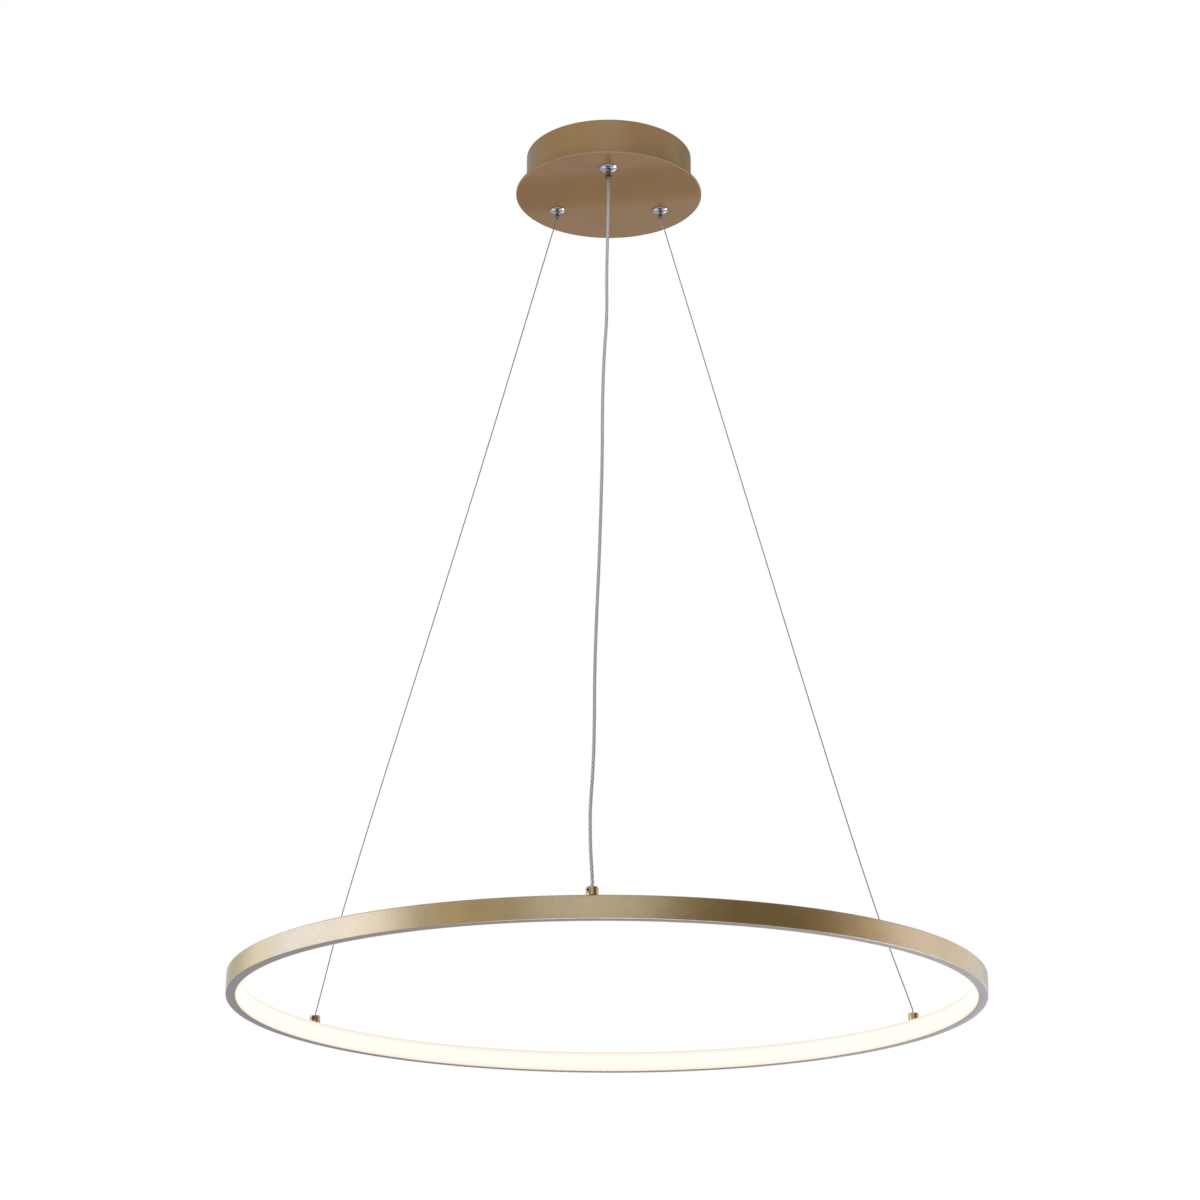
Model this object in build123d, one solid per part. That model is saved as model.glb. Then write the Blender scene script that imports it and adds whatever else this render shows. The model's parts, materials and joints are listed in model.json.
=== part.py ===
from build123d import *
from dataclasses import dataclass
from math import cos, pi, radians, sin, sqrt, tan
import os

# A ring pendant: a lit ring hung by two steel wires and a power cord from a round ceiling canopy.
# The frame's origin is on the ceiling, over the middle of the canopy. Up is +Z and the front is -Y.
# Sizes are in millimetres. Angles round the axis are counted from the front, positive towards +X.

# Fits
thread_clearance = 0.05
hole_clearance = 0.15
line_clearance = 0.15
snap_clearance = 0.15
cut_margin = 1.0

# Ring
ring_diameter = 600.0
ring_height = 17.0
ring_drop = 734.0
flange_depth = 7.4
profile_wall = 1.2
profile_bevel = 0.5
snap_rib_depth = 0.6
snap_rib_height = 0.5

# Diffuser
diffuser_thickness = 1.6
diffuser_crown = 0.5
diffuser_leg = 1.0
diffuser_barb = 0.8
diffuser_edge_gap = 0.2
notch_margin = 2.0

# Light strip, with the leads that feed it
strip_width = 8.0
strip_thickness = 0.3
strip_tape = 0.4
strip_gap_angle = 3.0
chip_count = 112
chip_start_angle = 5.0
chip_length = 3.5
chip_width = 2.8
chip_height = 0.7
chip_solder = 0.02
strip_lead_diameter = 0.9
strip_lead_spacing = 1.1
strip_pad_spacing = 1.8
strip_pad_angle = 1.0
strip_pad_gap = 0.2

# Hangers on the ring
cord_hanger_angle = -1.7
wire_hanger_spread = 121.3
ferrule_diameter = 8.8
ferrule_height = 6.2
ferrule_chamfer = 0.5
ferrule_stud_diameter = 4.0
block_length = 14.0
block_height = 3.0
block_clearance = 0.2
block_mouth_gap = 1.0
set_screw_diameter = 4.0
set_screw_edge = 0.3
set_screw_socket = 2.0
set_screw_socket_depth = 1.5
set_screw_headings = {"cord": -35.0, "left": -12.0, "right": 150.0}
set_screw_proud = {"cord": 0.6, "left": -0.8, "right": -0.2}

# Wires and cord
wire_diameter = 1.0
wire_bend_radius = 5.0
wire_tail = 12.0
cord_diameter = 2.6
cord_bend_radius = 8.0

# The cord's free stretch, from the canopy gripper down to the ring, with its small waves
cord_route = [
    (-0.1, -64.0, -79.5), (-0.5, -78.0, -117.5), (-1.1, -92.0, -157.0), (-0.6, -108.5, -203.0),
    (-3.0, -124.0, -246.5), (-3.9, -141.5, -295.5), (-3.7, -160.0, -347.0), (-4.6, -179.5, -401.5),
    (-5.8, -198.5, -455.0), (-7.5, -217.0, -506.5), (-8.4, -234.0, -553.5), (-8.2, -249.0, -595.5),
    (-8.8, -262.0, -632.0), (-10.9, -274.0, -666.0), (-10.3, -285.5, -698.0),
]

# The cord's tail in the canopy: up from its gripper, over in a bend and down to the connector
tail_rise = 9.0
tail_bend = (-20.0, -45.0)
tail_bend_fall = 1.0
tail_turn_x = -22.0

# Canopy
plate_diameter = 162.0
plate_thickness = 2.0
plate_edge_chamfer = 0.4
drum_diameter = 144.0
drum_height = 34.0
drum_wall = 1.2
drum_lip_width = 9.3
drum_corner_chamfer = 0.6
lip_stud_inset = 4.6
lip_stud_count = 4
lip_stud_start_angle = 45.0
lip_stud_diameter = 4.0
lip_stud_length = 6.5
lip_nut_flats = 7.0
lip_nut_height = 3.2

# Small studs and nuts on the plate
small_stud_diameter = 3.0
small_stud_spare = 0.8
small_nut_flats = 5.5
small_nut_height = 2.4

# Ceiling bracket
bracket_width = 22.0
bracket_thickness = 1.5
bracket_bend_radius = 1.0
bracket_tab_height = 14.0
bracket_clearance = 0.3
slot_spacing = 70.0
slot_width = 5.0
slot_length = 16.0
cable_hole_diameter = 12.0
side_screw_diameter = 4.0
side_screw_length = 6.0
side_screw_drop = 8.0
side_screw_socket = 2.0
side_screw_socket_depth = 1.5
side_screw_sink = 0.2

# Earth point on the bracket
earth_screw_x = 18.0
earth_screw_diameter = 4.0
earth_screw_sink = 0.1
earth_head_diameter = 8.0
earth_head_height = 2.4
cross_slot_length = 4.8
cross_slot_width = 1.0
cross_slot_depth = 1.2
lug_thickness = 0.8
lug_diameter = 9.0
lug_barrel_length = 7.0
lug_barrel_diameter = 3.4
lug_barrel_overlap = 0.5
lug_barrel_end = 1.0
lug_lead_gap = 0.2

# Driver
driver_width = 34.0
driver_height = 20.0
driver_wall = 1.6
driver_offset = 10.0
driver_lip_clearance = 2.3
driver_corner_radius = 2.0
driver_inner_radius = 0.4
driver_ear_length = 9.0
driver_ear_width = 12.0
driver_ear_thickness = 2.0
lid_rim_depth = 3.0
lid_rim_thickness = 1.2
board_thickness = 1.6
board_lift = 3.0
board_margin = 1.6
board_foot_diameter = 3.0
board_foot_inset = 3.0
small_corner_radius = 1.0
transformer_core = (22.0, 11.0, 9.5)
transformer_coil = (12.0, 20.0, 7.6)
transformer_x = 4.0
capacitor_diameter = 9.0
capacitor_height = 11.0
capacitor_edge_chamfer = 0.6
capacitor_end_inset = 15.8
capacitor_pair_spacing = 10.5

# Terminal block
terminal_pitch = 10.0
terminal_count = 3
terminal_width = 16.0
terminal_height = 14.0
terminal_insert_diameter = 5.0
terminal_insert_bore = 3.2
terminal_insert_length = 13.0
terminal_screw_diameter = 3.0
terminal_screw_spacing = 7.0
terminal_screw_sink = 1.5
terminal_slot_width = 0.6
terminal_slot_depth = 0.6
terminal_lead_depth = 4.5

# Leads and connector in the canopy
lead_diameter = 2.0
lead_height = 8.0
lead_bend_radius = 2.5
lead_channel = 11.0
lead_run_gap = 4.0
lead_run_pitch = 3.0
lead_turn_gap = 5.5
lead_turn_pitch = 3.5
lead_end_depth = 2.0
earth_lead_drop = 8.0
earth_lead_gap = 3.0
output_spacing = 3.0
output_turn_pitch = 4.0
output_lean = 3.0
plug_length = 12.0
plug_width = 7.0
plug_height = 6.0
plug_groove_depth = 0.5
plug_end_inset = 20.0

# Grippers on the canopy plate
gripper_inset = 9.0
gripper_angles = {"cord": 0.0, "left": -120.0, "right": 120.0}
plunger_travel = 1.8
plunger_clearance = 0.2
plunger_head_height = 1.2
ball_clearance = 0.05
ball_count = 3
cone_angle = 10.0
cage_under_ball = 1.0
cage_over_ball = 0.8
grip_sleeve_wall = 1.0
grip_cap_depth = 2.0
grip_cap_flange = 1.0
flange_edge = 0.4
dome_bulge = 0.35
dome_land = 0.6
collar_chamfer = 0.3

# Wire gripper
wire_flange_diameter = 13.4
wire_dome_height = 1.6
wire_sleeve_diameter = 8.0
wire_nut_flats = 12.0
wire_nut_height = 3.0
wire_ball_diameter = 2.0
wire_tube_diameter = 3.0
wire_tube_reach = 7.5
wire_collar_diameter = 4.2
wire_collar_height = 2.2
wire_mouth_diameter = 2.6
wire_mouth_depth = 1.1
wire_bend_depth = 0.9
wire_spring_wire = 0.5
wire_spring_solid_height = 2.2

# Cord gripper
cord_flange_diameter = 15.2
cord_dome_height = 1.8
cord_sleeve_diameter = 11.0
cord_nut_flats = 14.0
cord_nut_height = 3.0
cord_ball_diameter = 2.4
cord_tube_diameter = 4.6
cord_tube_reach = 10.2
cord_collar_diameter = 5.9
cord_collar_height = 2.6
cord_mouth_diameter = 4.5
cord_mouth_depth = 1.3
cord_bend_depth = 1.0
cord_spring_wire = 0.6
cord_spring_solid_height = 2.6


@dataclass
class Grip:
    """Sizes of one ball gripper, with the line that it holds."""

    line_diameter: float
    flange_diameter: float
    dome_height: float
    sleeve_diameter: float
    nut_flats: float
    nut_height: float
    ball_diameter: float
    tube_diameter: float
    reach: float
    collar_diameter: float
    collar_height: float
    mouth_diameter: float
    mouth_depth: float
    bend_depth: float
    spring_wire: float
    spring_solid_height: float


wire_grip = Grip(
    wire_diameter, wire_flange_diameter, wire_dome_height, wire_sleeve_diameter, wire_nut_flats,
    wire_nut_height, wire_ball_diameter, wire_tube_diameter, wire_tube_reach, wire_collar_diameter,
    wire_collar_height, wire_mouth_diameter, wire_mouth_depth, wire_bend_depth, wire_spring_wire,
    wire_spring_solid_height)
cord_grip = Grip(
    cord_diameter, cord_flange_diameter, cord_dome_height, cord_sleeve_diameter, cord_nut_flats,
    cord_nut_height, cord_ball_diameter, cord_tube_diameter, cord_tube_reach, cord_collar_diameter,
    cord_collar_height, cord_mouth_diameter, cord_mouth_depth, cord_bend_depth, cord_spring_wire,
    cord_spring_solid_height)
grips = {"cord": cord_grip, "left": wire_grip, "right": wire_grip}

# Places worked out from the sizes above
plate_top = -drum_height
plate_bottom = plate_top - plate_thickness
drum_radius = drum_diameter / 2
drum_inner_radius = drum_radius - drum_wall
lip_inner_radius = drum_inner_radius - drum_lip_width
lip_stud_radius = lip_inner_radius + lip_stud_inset
gripper_radius = lip_inner_radius - gripper_inset
ring_radius = ring_diameter / 2
ring_top = -ring_drop
ring_bottom = ring_top - ring_height
ring_middle = (ring_top + ring_bottom) / 2
wall_radius = ring_radius - profile_wall
flange_radius = ring_radius - flange_depth
block_width = flange_depth - profile_wall - block_clearance - block_mouth_gap
hanger_radius = wall_radius - block_clearance - block_width / 2
strip_radius = wall_radius - strip_tape - strip_thickness
hanger_angles = {
    "cord": cord_hanger_angle,
    "left": cord_hanger_angle - wire_hanger_spread,
    "right": cord_hanger_angle + wire_hanger_spread,
}
ferrule_top = ring_top + ferrule_height
stud_bottom = ring_top - profile_wall - block_height - block_clearance
line_bottoms = {
    "cord": stud_bottom - block_clearance,
    "left": ring_top + block_clearance,
    "right": ring_top + block_clearance,
}
driver_y = -driver_offset
ear_corner_y = driver_offset + driver_ear_width / 2
driver_reach = sqrt((lip_inner_radius - driver_lip_clearance) ** 2 - ear_corner_y ** 2)
driver_length = 2 * (driver_reach - driver_ear_length)
driver_front = driver_y - driver_width / 2
cord_nut_back = cord_grip.nut_flats / sqrt(3) - gripper_radius
plug_x = driver_length / 2 - plug_end_inset
plug_y = (driver_front + cord_nut_back) / 2
terminal_y = driver_y + driver_width / 2 + lead_channel + terminal_width / 2


def at_angle(radius, angle, height):
    """Point at a radius and an angle from the front."""
    return (radius * sin(radians(angle)), -radius * cos(radians(angle)), height)


def turned(*edges):
    """Solid turned about Z from edges drawn in (radius, height)."""
    outline = Curve() + [Plane.XZ * edge for edge in edges]
    return revolve(make_face(outline), Axis.Z)


def turned_points(*points):
    """Solid turned about Z from (radius, height) corners."""
    return turned(Polyline(*points, close=True))


def rod(radius, low, high, bore=0.0):
    """Upright cylinder or tube between two heights."""
    body = Pos(0, 0, (low + high) / 2) * Cylinder(radius, high - low)
    if bore:
        body -= Pos(0, 0, (low + high) / 2) * Cylinder(bore, high - low + 2 * cut_margin)
    return body


def rounded_box(length, width, height, radius):
    """Box on the XY plane with rounded upright edges."""
    return extrude(RectangleRounded(length, width, radius), height)


def hex_nut(flats, low, high, bore):
    """Upright hexagon nut."""
    prism = extrude(RegularPolygon(flats / 2, 6, major_radius=False), high - low)
    return Pos(0, 0, low) * prism - rod(bore, low - cut_margin, high + cut_margin)


def socket_screw(diameter, length, socket, depth):
    """Grub screw that runs from y = 0 towards +Y, with a hexagon socket in its end at y = 0."""
    body = Rot(90, 0, 0) * Pos(0, 0, -length / 2) * Cylinder(diameter / 2, length)
    key = extrude(RegularPolygon(socket / 2, 6, major_radius=False), depth)
    return body - Rot(90, 0, 0) * Pos(0, 0, -depth) * key


def tube_along(points, radii, diameter):
    """Round bar swept along straight runs joined by arcs."""
    path = FilletPolyline(*points, radius=radii)
    start = Plane(path @ 0, z_dir=path % 0)
    return sweep(start * Circle(diameter / 2), path=path)


def largest_radii(points, share=0.45):
    """Radius at each inner corner that takes a share of the shorter of its two runs."""
    radii = []
    for before, here, after in zip(points, points[1:], points[2:]):
        one = Vector(*here) - Vector(*before)
        two = Vector(*after) - Vector(*here)
        half_turn = radians(one.get_angle(two)) / 2
        radii.append(share * min(one.length, two.length) / tan(half_turn))
    return radii


def group(solids):
    """Separate solids kept together in one node."""
    return Compound(children=list(solids))


parts = {}


# Ring profile: a channel, open towards the ring's middle, with snap ribs for the diffuser
def profile_section():
    """Corners of the channel's section."""
    bevel = profile_bevel
    rib_radius = flange_radius + snap_rib_depth
    upper = ring_top - profile_wall
    lower = ring_bottom + profile_wall
    return [
        (flange_radius, ring_top),
        (ring_radius - bevel, ring_top),
        (ring_radius, ring_top - bevel),
        (ring_radius, ring_bottom + bevel),
        (ring_radius - bevel, ring_bottom),
        (flange_radius, ring_bottom),
        (flange_radius, lower + snap_rib_height),
        (rib_radius, lower + snap_rib_height),
        (rib_radius, lower),
        (wall_radius, lower),
        (wall_radius, upper),
        (rib_radius, upper),
        (rib_radius, upper - snap_rib_height),
        (flange_radius, upper - snap_rib_height),
    ]


ring_profile = turned_points(*profile_section())
stud_hole = rod(
    ferrule_stud_diameter / 2 + hole_clearance, ring_top - profile_wall - cut_margin, ring_top + cut_margin)
for angle in hanger_angles.values():
    ring_profile -= Pos(*at_angle(hanger_radius, angle, 0)) * stud_hole
parts["ring_profile"] = ring_profile


# Diffuser: a crowned face that covers the channel's mouth, with two barbed legs behind the ribs
def diffuser_section():
    """Edges of the diffuser's section."""
    back = flange_radius - snap_clearance
    front = back - diffuser_thickness
    top = ring_top - diffuser_edge_gap
    bottom = ring_bottom + diffuser_edge_gap
    leg_outer = ring_top - profile_wall - snap_rib_height - snap_clearance
    leg_inner = leg_outer - diffuser_leg
    barb_outer = ring_top - profile_wall - snap_clearance
    barb_start = flange_radius + snap_rib_depth + snap_clearance
    leg_end = barb_start + diffuser_barb
    upper_leg = [
        (back, leg_inner), (leg_end, leg_inner), (leg_end, leg_outer),
        (barb_start, barb_outer), (barb_start, leg_outer), (back, leg_outer), (back, top),
    ]
    lower_leg = [(radius, 2 * ring_middle - height) for radius, height in reversed(upper_leg)]
    edge = front + diffuser_crown
    return [
        Polyline((edge, bottom), *lower_leg, *upper_leg, (edge, top)),
        ThreePointArc((edge, top), (front, ring_middle), (edge, bottom)),
    ]


diffuser = turned(*diffuser_section())
notch_depth = wall_radius - flange_radius
notch_height = ring_top - ring_middle
notch = Box(block_length + 2 * notch_margin, notch_depth, notch_height)
notch = Pos(0, -(flange_radius + notch_depth / 2), ring_top - notch_height / 2) * notch
for angle in hanger_angles.values():
    diffuser -= Rot(0, 0, angle) * notch
parts["diffuser"] = diffuser

# Light strip: a thin band on the channel's wall with a gap at the cord, and its chips
strip_section = Plane.XZ * Pos(strip_radius + strip_thickness / 2, ring_middle)
strip_section *= Rectangle(strip_thickness, strip_width)
strip = revolve(strip_section, Axis.Z, 360 - strip_gap_angle)
parts["led_strip"] = Rot(0, 0, cord_hanger_angle + strip_gap_angle / 2 - 90) * strip

chip = Box(chip_length, chip_height, chip_width)
chip_rise = chip_length ** 2 / (8 * strip_radius)
chip_radius = strip_radius - chip_solder - chip_rise - chip_height / 2
chip_pitch = (360 - 2 * chip_start_angle) / (chip_count - 1)
chips = []
for index in range(chip_count):
    turn = cord_hanger_angle + chip_start_angle + index * chip_pitch
    chips.append(Rot(0, 0, turn) * Pos(0, -chip_radius, ring_middle) * chip)
parts["led_chips"] = group(chips)

# Hangers: threaded blocks in the channel, brass ferrules on the ring and their set screws
block = Box(block_length, block_width, block_height)
block -= Cylinder(ferrule_stud_diameter / 2 + thread_clearance, block_height + 2 * cut_margin)
block_middle = ring_top - profile_wall - block_height / 2
parts["hanger_blocks"] = group(
    Rot(0, 0, angle) * Pos(0, -hanger_radius, block_middle) * block for angle in hanger_angles.values())
set_screw_z = ferrule_top - ferrule_chamfer - set_screw_edge - set_screw_diameter / 2


def ferrule(name):
    """Ferrule with its stud, line bore and set screw hole, on the Z axis."""
    radius = ferrule_diameter / 2
    bore = grips[name].line_diameter / 2 + line_clearance
    body = turned_points(
        (0, ring_top), (radius, ring_top), (radius, ferrule_top - ferrule_chamfer),
        (radius - ferrule_chamfer, ferrule_top), (0, ferrule_top))
    body += rod(ferrule_stud_diameter / 2, stud_bottom, ring_top)
    body -= rod(bore, line_bottoms[name], ferrule_top + cut_margin)
    screw_hole = Cylinder(set_screw_diameter / 2 + thread_clearance, radius)
    screw_hole = Pos(0, -radius / 2, set_screw_z) * Rot(90, 0, 0) * screw_hole
    return body - Rot(0, 0, set_screw_headings[name]) * screw_hole


set_screws = []
for name, angle in hanger_angles.items():
    spot = Pos(*at_angle(hanger_radius, angle, 0))
    parts["ferrule_" + name] = spot * ferrule(name)
    outer_end = ferrule_diameter / 2 + set_screw_proud[name]
    length = outer_end - grips[name].line_diameter / 2 - line_clearance
    screw = socket_screw(set_screw_diameter, length, set_screw_socket, set_screw_socket_depth)
    screw = Pos(0, -outer_end, set_screw_z) * screw
    set_screws.append(spot * Rot(0, 0, set_screw_headings[name]) * screw)
parts["ferrule_set_screws"] = group(set_screws)

# Leads from the cord's end to the strip, beside each other
strip_leads = []
pad_radius = strip_radius - strip_lead_diameter / 2 - strip_pad_gap
pad_angle = strip_gap_angle / 2 + strip_pad_angle
for side in (-1, 1):
    lead_x = side * strip_lead_spacing / 2
    pad_z = ring_middle + side * strip_pad_spacing / 2
    route = [
        (lead_x, -hanger_radius, line_bottoms["cord"]),
        (lead_x, -hanger_radius, pad_z),
        at_angle(pad_radius, pad_angle, pad_z),
    ]
    lead = tube_along(route, largest_radii(route), strip_lead_diameter)
    strip_leads.append(Rot(0, 0, cord_hanger_angle) * lead)
parts["strip_leads"] = group(strip_leads)

# Canopy drum: a spun wall with an inward lip, and side holes for the bracket's screws
lip_top = plate_top + drum_wall
drum = turned_points(
    (drum_inner_radius, 0), (drum_radius, 0), (drum_radius, plate_top),
    (lip_inner_radius, plate_top), (lip_inner_radius, lip_top), (drum_inner_radius, lip_top))
drum_corner = drum.edges().filter_by(GeomType.CIRCLE).group_by(Axis.Z)[0].sort_by(SortBy.RADIUS)[-1]
drum = chamfer(drum_corner, drum_corner_chamfer)
lip_stud_angles = [lip_stud_start_angle + 360 / lip_stud_count * index for index in range(lip_stud_count)]
lip_hole = rod(lip_stud_diameter / 2 + hole_clearance, plate_top - cut_margin, lip_top + cut_margin)
for angle in lip_stud_angles:
    drum -= Pos(*at_angle(lip_stud_radius, angle, 0)) * lip_hole
side_hole = Rot(0, 90, 0) * Cylinder(side_screw_diameter / 2 + hole_clearance, drum_diameter + cut_margin)
parts["canopy_drum"] = drum - Pos(0, 0, -side_screw_drop) * side_hole

# Canopy plate: a wider disc under the drum, with a hole for each gripper
plate = rod(plate_diameter / 2, plate_bottom, plate_top)
plate = chamfer(plate.edges().filter_by(GeomType.CIRCLE), plate_edge_chamfer)
for name, angle in gripper_angles.items():
    hole_radius = grips[name].sleeve_diameter / 2 + hole_clearance
    hole = rod(hole_radius, plate_bottom - cut_margin, plate_top + cut_margin)
    plate -= Pos(*at_angle(gripper_radius, angle, 0)) * hole
parts["canopy_plate"] = plate

# Studs welded to the plate, and the nuts on them
driver_ear_x = (driver_length + driver_ear_length) / 2
terminal_fixing_x = terminal_pitch / 2
small_seats = [(side * driver_ear_x, driver_y, driver_ear_thickness) for side in (-1, 1)]
small_seats += [(side * terminal_fixing_x, terminal_y, terminal_height) for side in (-1, 1)]
studs = []
lip_nuts = []
small_nuts = []
for angle in lip_stud_angles:
    spot = Pos(*at_angle(lip_stud_radius, angle, 0))
    studs.append(spot * rod(lip_stud_diameter / 2, plate_top, plate_top + lip_stud_length))
    nut_bore = lip_stud_diameter / 2 + thread_clearance
    lip_nuts.append(spot * hex_nut(lip_nut_flats, lip_top, lip_top + lip_nut_height, nut_bore))
for x, y, seat in small_seats:
    nut_low = plate_top + seat
    nut_high = nut_low + small_nut_height
    nut_bore = small_stud_diameter / 2 + thread_clearance
    studs.append(Pos(x, y) * rod(small_stud_diameter / 2, plate_top, nut_high + small_stud_spare))
    small_nuts.append(Pos(x, y) * hex_nut(small_nut_flats, nut_low, nut_high, nut_bore))
parts["weld_studs"] = group(studs)
parts["plate_nuts"] = group(lip_nuts)
parts["fixing_nuts"] = group(small_nuts)

# Ceiling bracket: a bent strap with slots for the ceiling screws and tabs for the side screws
tab_x = sqrt(drum_inner_radius ** 2 - (bracket_width / 2) ** 2) - bracket_clearance
half_thickness = bracket_thickness / 2
strap_line = FilletPolyline(
    (half_thickness - tab_x, -bracket_tab_height), (half_thickness - tab_x, -half_thickness),
    (tab_x - half_thickness, -half_thickness), (tab_x - half_thickness, -bracket_tab_height),
    radius=bracket_bend_radius + half_thickness)
bracket = extrude(Plane.XZ * trace(strap_line, bracket_thickness), bracket_width / 2, both=True)
strap_cut = bracket_thickness + cut_margin
slot = extrude(SlotOverall(slot_length, slot_width), strap_cut, both=True)
for side in (-1, 1):
    bracket -= Pos(side * slot_spacing / 2, 0) * slot
bracket -= rod(cable_hole_diameter / 2, -strap_cut, strap_cut)
bracket -= Pos(earth_screw_x, 0) * rod(earth_screw_diameter / 2 + thread_clearance, -strap_cut, strap_cut)
tapped_hole = Rot(0, 90, 0) * Cylinder(side_screw_diameter / 2 + thread_clearance, drum_diameter)
parts["ceiling_bracket"] = bracket - Pos(0, 0, -side_screw_drop) * tapped_hole

side_screw = socket_screw(
    side_screw_diameter, side_screw_length, side_screw_socket, side_screw_socket_depth)
side_screw = Pos(0, -(drum_radius - side_screw_sink), -side_screw_drop) * side_screw
parts["canopy_side_screws"] = group(Rot(0, 0, turn) * side_screw for turn in (-90, 90))

# Earth screw under the bracket, with the lug of the earth lead
lug_top = -bracket_thickness
head_top = lug_top - lug_thickness
head_bottom = head_top - earth_head_height
earth_screw = rod(earth_screw_diameter / 2, head_top, -earth_screw_sink)
earth_screw += rod(earth_head_diameter / 2, head_bottom, head_top)
cross_slot = Box(cross_slot_length, cross_slot_width, 2 * cross_slot_depth)
cross_slot += Rot(0, 0, 90) * cross_slot
earth_screw -= Pos(0, 0, head_bottom) * cross_slot
parts["earth_screw"] = Pos(earth_screw_x, 0) * earth_screw

barrel_start = lug_diameter / 2 - lug_barrel_overlap
barrel_end = barrel_start + lug_barrel_length
barrel_z = lug_top - lug_barrel_diameter / 2
barrel = Rot(-90, 0, 0) * rod(lug_barrel_diameter / 2, barrel_start, barrel_end)
barrel_hole = Rot(-90, 0, 0) * rod(
    lead_diameter / 2 + thread_clearance, barrel_start + lug_barrel_end, barrel_end + cut_margin)
lug = rod(lug_diameter / 2, head_top, lug_top, earth_screw_diameter / 2 + hole_clearance)
lug = lug + Pos(0, 0, barrel_z) * barrel - Pos(0, 0, barrel_z) * barrel_hole
parts["earth_lug"] = Pos(earth_screw_x, 0) * lug

# Driver: a tray with ears and lead holes, a snap lid, and the board with its tall components
driver_spot = Pos(0, driver_y, plate_top)
tray_height = driver_height - driver_wall
inner_length = driver_length - 2 * driver_wall
inner_width = driver_width - 2 * driver_wall
tray = rounded_box(driver_length, driver_width, tray_height, driver_corner_radius)
tray += rounded_box(
    driver_length + 2 * driver_ear_length, driver_ear_width, driver_ear_thickness, driver_corner_radius)
tray -= Pos(0, 0, driver_wall) * rounded_box(inner_length, inner_width, driver_height, driver_inner_radius)
ear_hole = rod(small_stud_diameter / 2 + hole_clearance, -cut_margin, driver_ear_thickness + cut_margin)
lead_hole = Rot(0, 90, 0) * Cylinder(lead_diameter / 2 + hole_clearance, 4 * driver_wall)
for side in (-1, 1):
    tray -= Pos(side * driver_ear_x, 0) * ear_hole
    for row in (-1, 1):
        tray -= Pos(side * driver_length / 2, row * output_spacing, lead_height) * lead_hole
parts["driver_case"] = driver_spot * tray

rim_length = inner_length - 2 * snap_clearance
rim_width = inner_width - 2 * snap_clearance
rim = rounded_box(rim_length, rim_width, lid_rim_depth, driver_inner_radius)
rim -= rounded_box(rim_length - 2 * lid_rim_thickness, rim_width - 2 * lid_rim_thickness,
                   lid_rim_depth, driver_inner_radius)
lid = rounded_box(driver_length, driver_width, driver_wall, driver_corner_radius)
lid += Pos(0, 0, -lid_rim_depth) * rim
parts["driver_lid"] = driver_spot * Pos(0, 0, tray_height) * lid

board_length = inner_length - 2 * board_margin
board_width = inner_width - 2 * board_margin
board_low = driver_wall + board_lift
board_top = board_low + board_thickness
board = Pos(0, 0, board_low) * rounded_box(board_length, board_width, board_thickness, driver_inner_radius)
foot = rod(board_foot_diameter / 2, driver_wall, board_low)
foot_x = board_length / 2 - board_foot_inset
foot_y = board_width / 2 - board_foot_inset
for x, y in ((-foot_x, -foot_y), (-foot_x, foot_y), (foot_x, -foot_y), (foot_x, foot_y)):
    board += Pos(x, y) * foot
parts["driver_board"] = driver_spot * board

transformer = rounded_box(*transformer_core, small_corner_radius)
transformer += rounded_box(*transformer_coil, small_corner_radius)
parts["driver_transformer"] = driver_spot * Pos(transformer_x, 0, board_top) * transformer
capacitor = rod(capacitor_diameter / 2, 0, capacitor_height)
capacitor = chamfer(capacitor.edges().sort_by(Axis.Z)[-1], capacitor_edge_chamfer)
capacitor_x = board_length / 2 - capacitor_end_inset
capacitor_y = capacitor_pair_spacing / 2
parts["driver_capacitors"] = group(
    driver_spot * Pos(x, y, board_top) * capacitor
    for x, y in ((-capacitor_x, -capacitor_y), (-capacitor_x, capacitor_y), (capacitor_x, 0)))

# Terminal block with brass inserts and their screws
pole_xs = [(index - (terminal_count - 1) / 2) * terminal_pitch for index in range(terminal_count)]
block_spot = Pos(0, terminal_y, plate_top)
screw_radius = terminal_screw_diameter / 2
screw_low = lead_height + lead_diameter / 2 + thread_clearance
screw_high = terminal_height - terminal_screw_sink
screw_spots = [(x, side * terminal_screw_spacing / 2) for x in pole_xs for side in (-1, 1)]
lengthwise = Rot(90, 0, 0)
insert = lengthwise * Cylinder(terminal_insert_diameter / 2, terminal_insert_length)
insert -= lengthwise * Cylinder(terminal_insert_bore / 2, terminal_insert_length + 2 * cut_margin)
for side in (-1, 1):
    tapping = rod(screw_radius + thread_clearance, 0, terminal_insert_diameter)
    insert -= Pos(0, side * terminal_screw_spacing / 2) * tapping
seat = lengthwise * Cylinder(terminal_insert_diameter / 2 + thread_clearance, terminal_insert_length)
entry = lengthwise * Cylinder(terminal_insert_bore / 2 + hole_clearance, terminal_width + 2 * cut_margin)
terminal = rounded_box(terminal_pitch * terminal_count, terminal_width, terminal_height, small_corner_radius)
for x in pole_xs:
    terminal -= Pos(x, 0, lead_height) * (seat + entry)
for x, y in screw_spots:
    terminal -= Pos(x, y) * rod(screw_radius + hole_clearance, lead_height, terminal_height + cut_margin)
fixing_hole = rod(small_stud_diameter / 2 + hole_clearance, -cut_margin, terminal_height + cut_margin)
for side in (-1, 1):
    terminal -= Pos(side * terminal_fixing_x, 0) * fixing_hole
terminal_screw = rod(screw_radius, screw_low, screw_high)
terminal_screw -= Pos(0, 0, screw_high) * Box(
    2 * terminal_screw_diameter, terminal_slot_width, 2 * terminal_slot_depth)
parts["terminal_block"] = block_spot * terminal
parts["terminal_inserts"] = group(block_spot * Pos(x, 0, lead_height) * insert for x in pole_xs)
parts["terminal_screws"] = group(block_spot * Pos(x, y) * terminal_screw for x, y in screw_spots)

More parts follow.
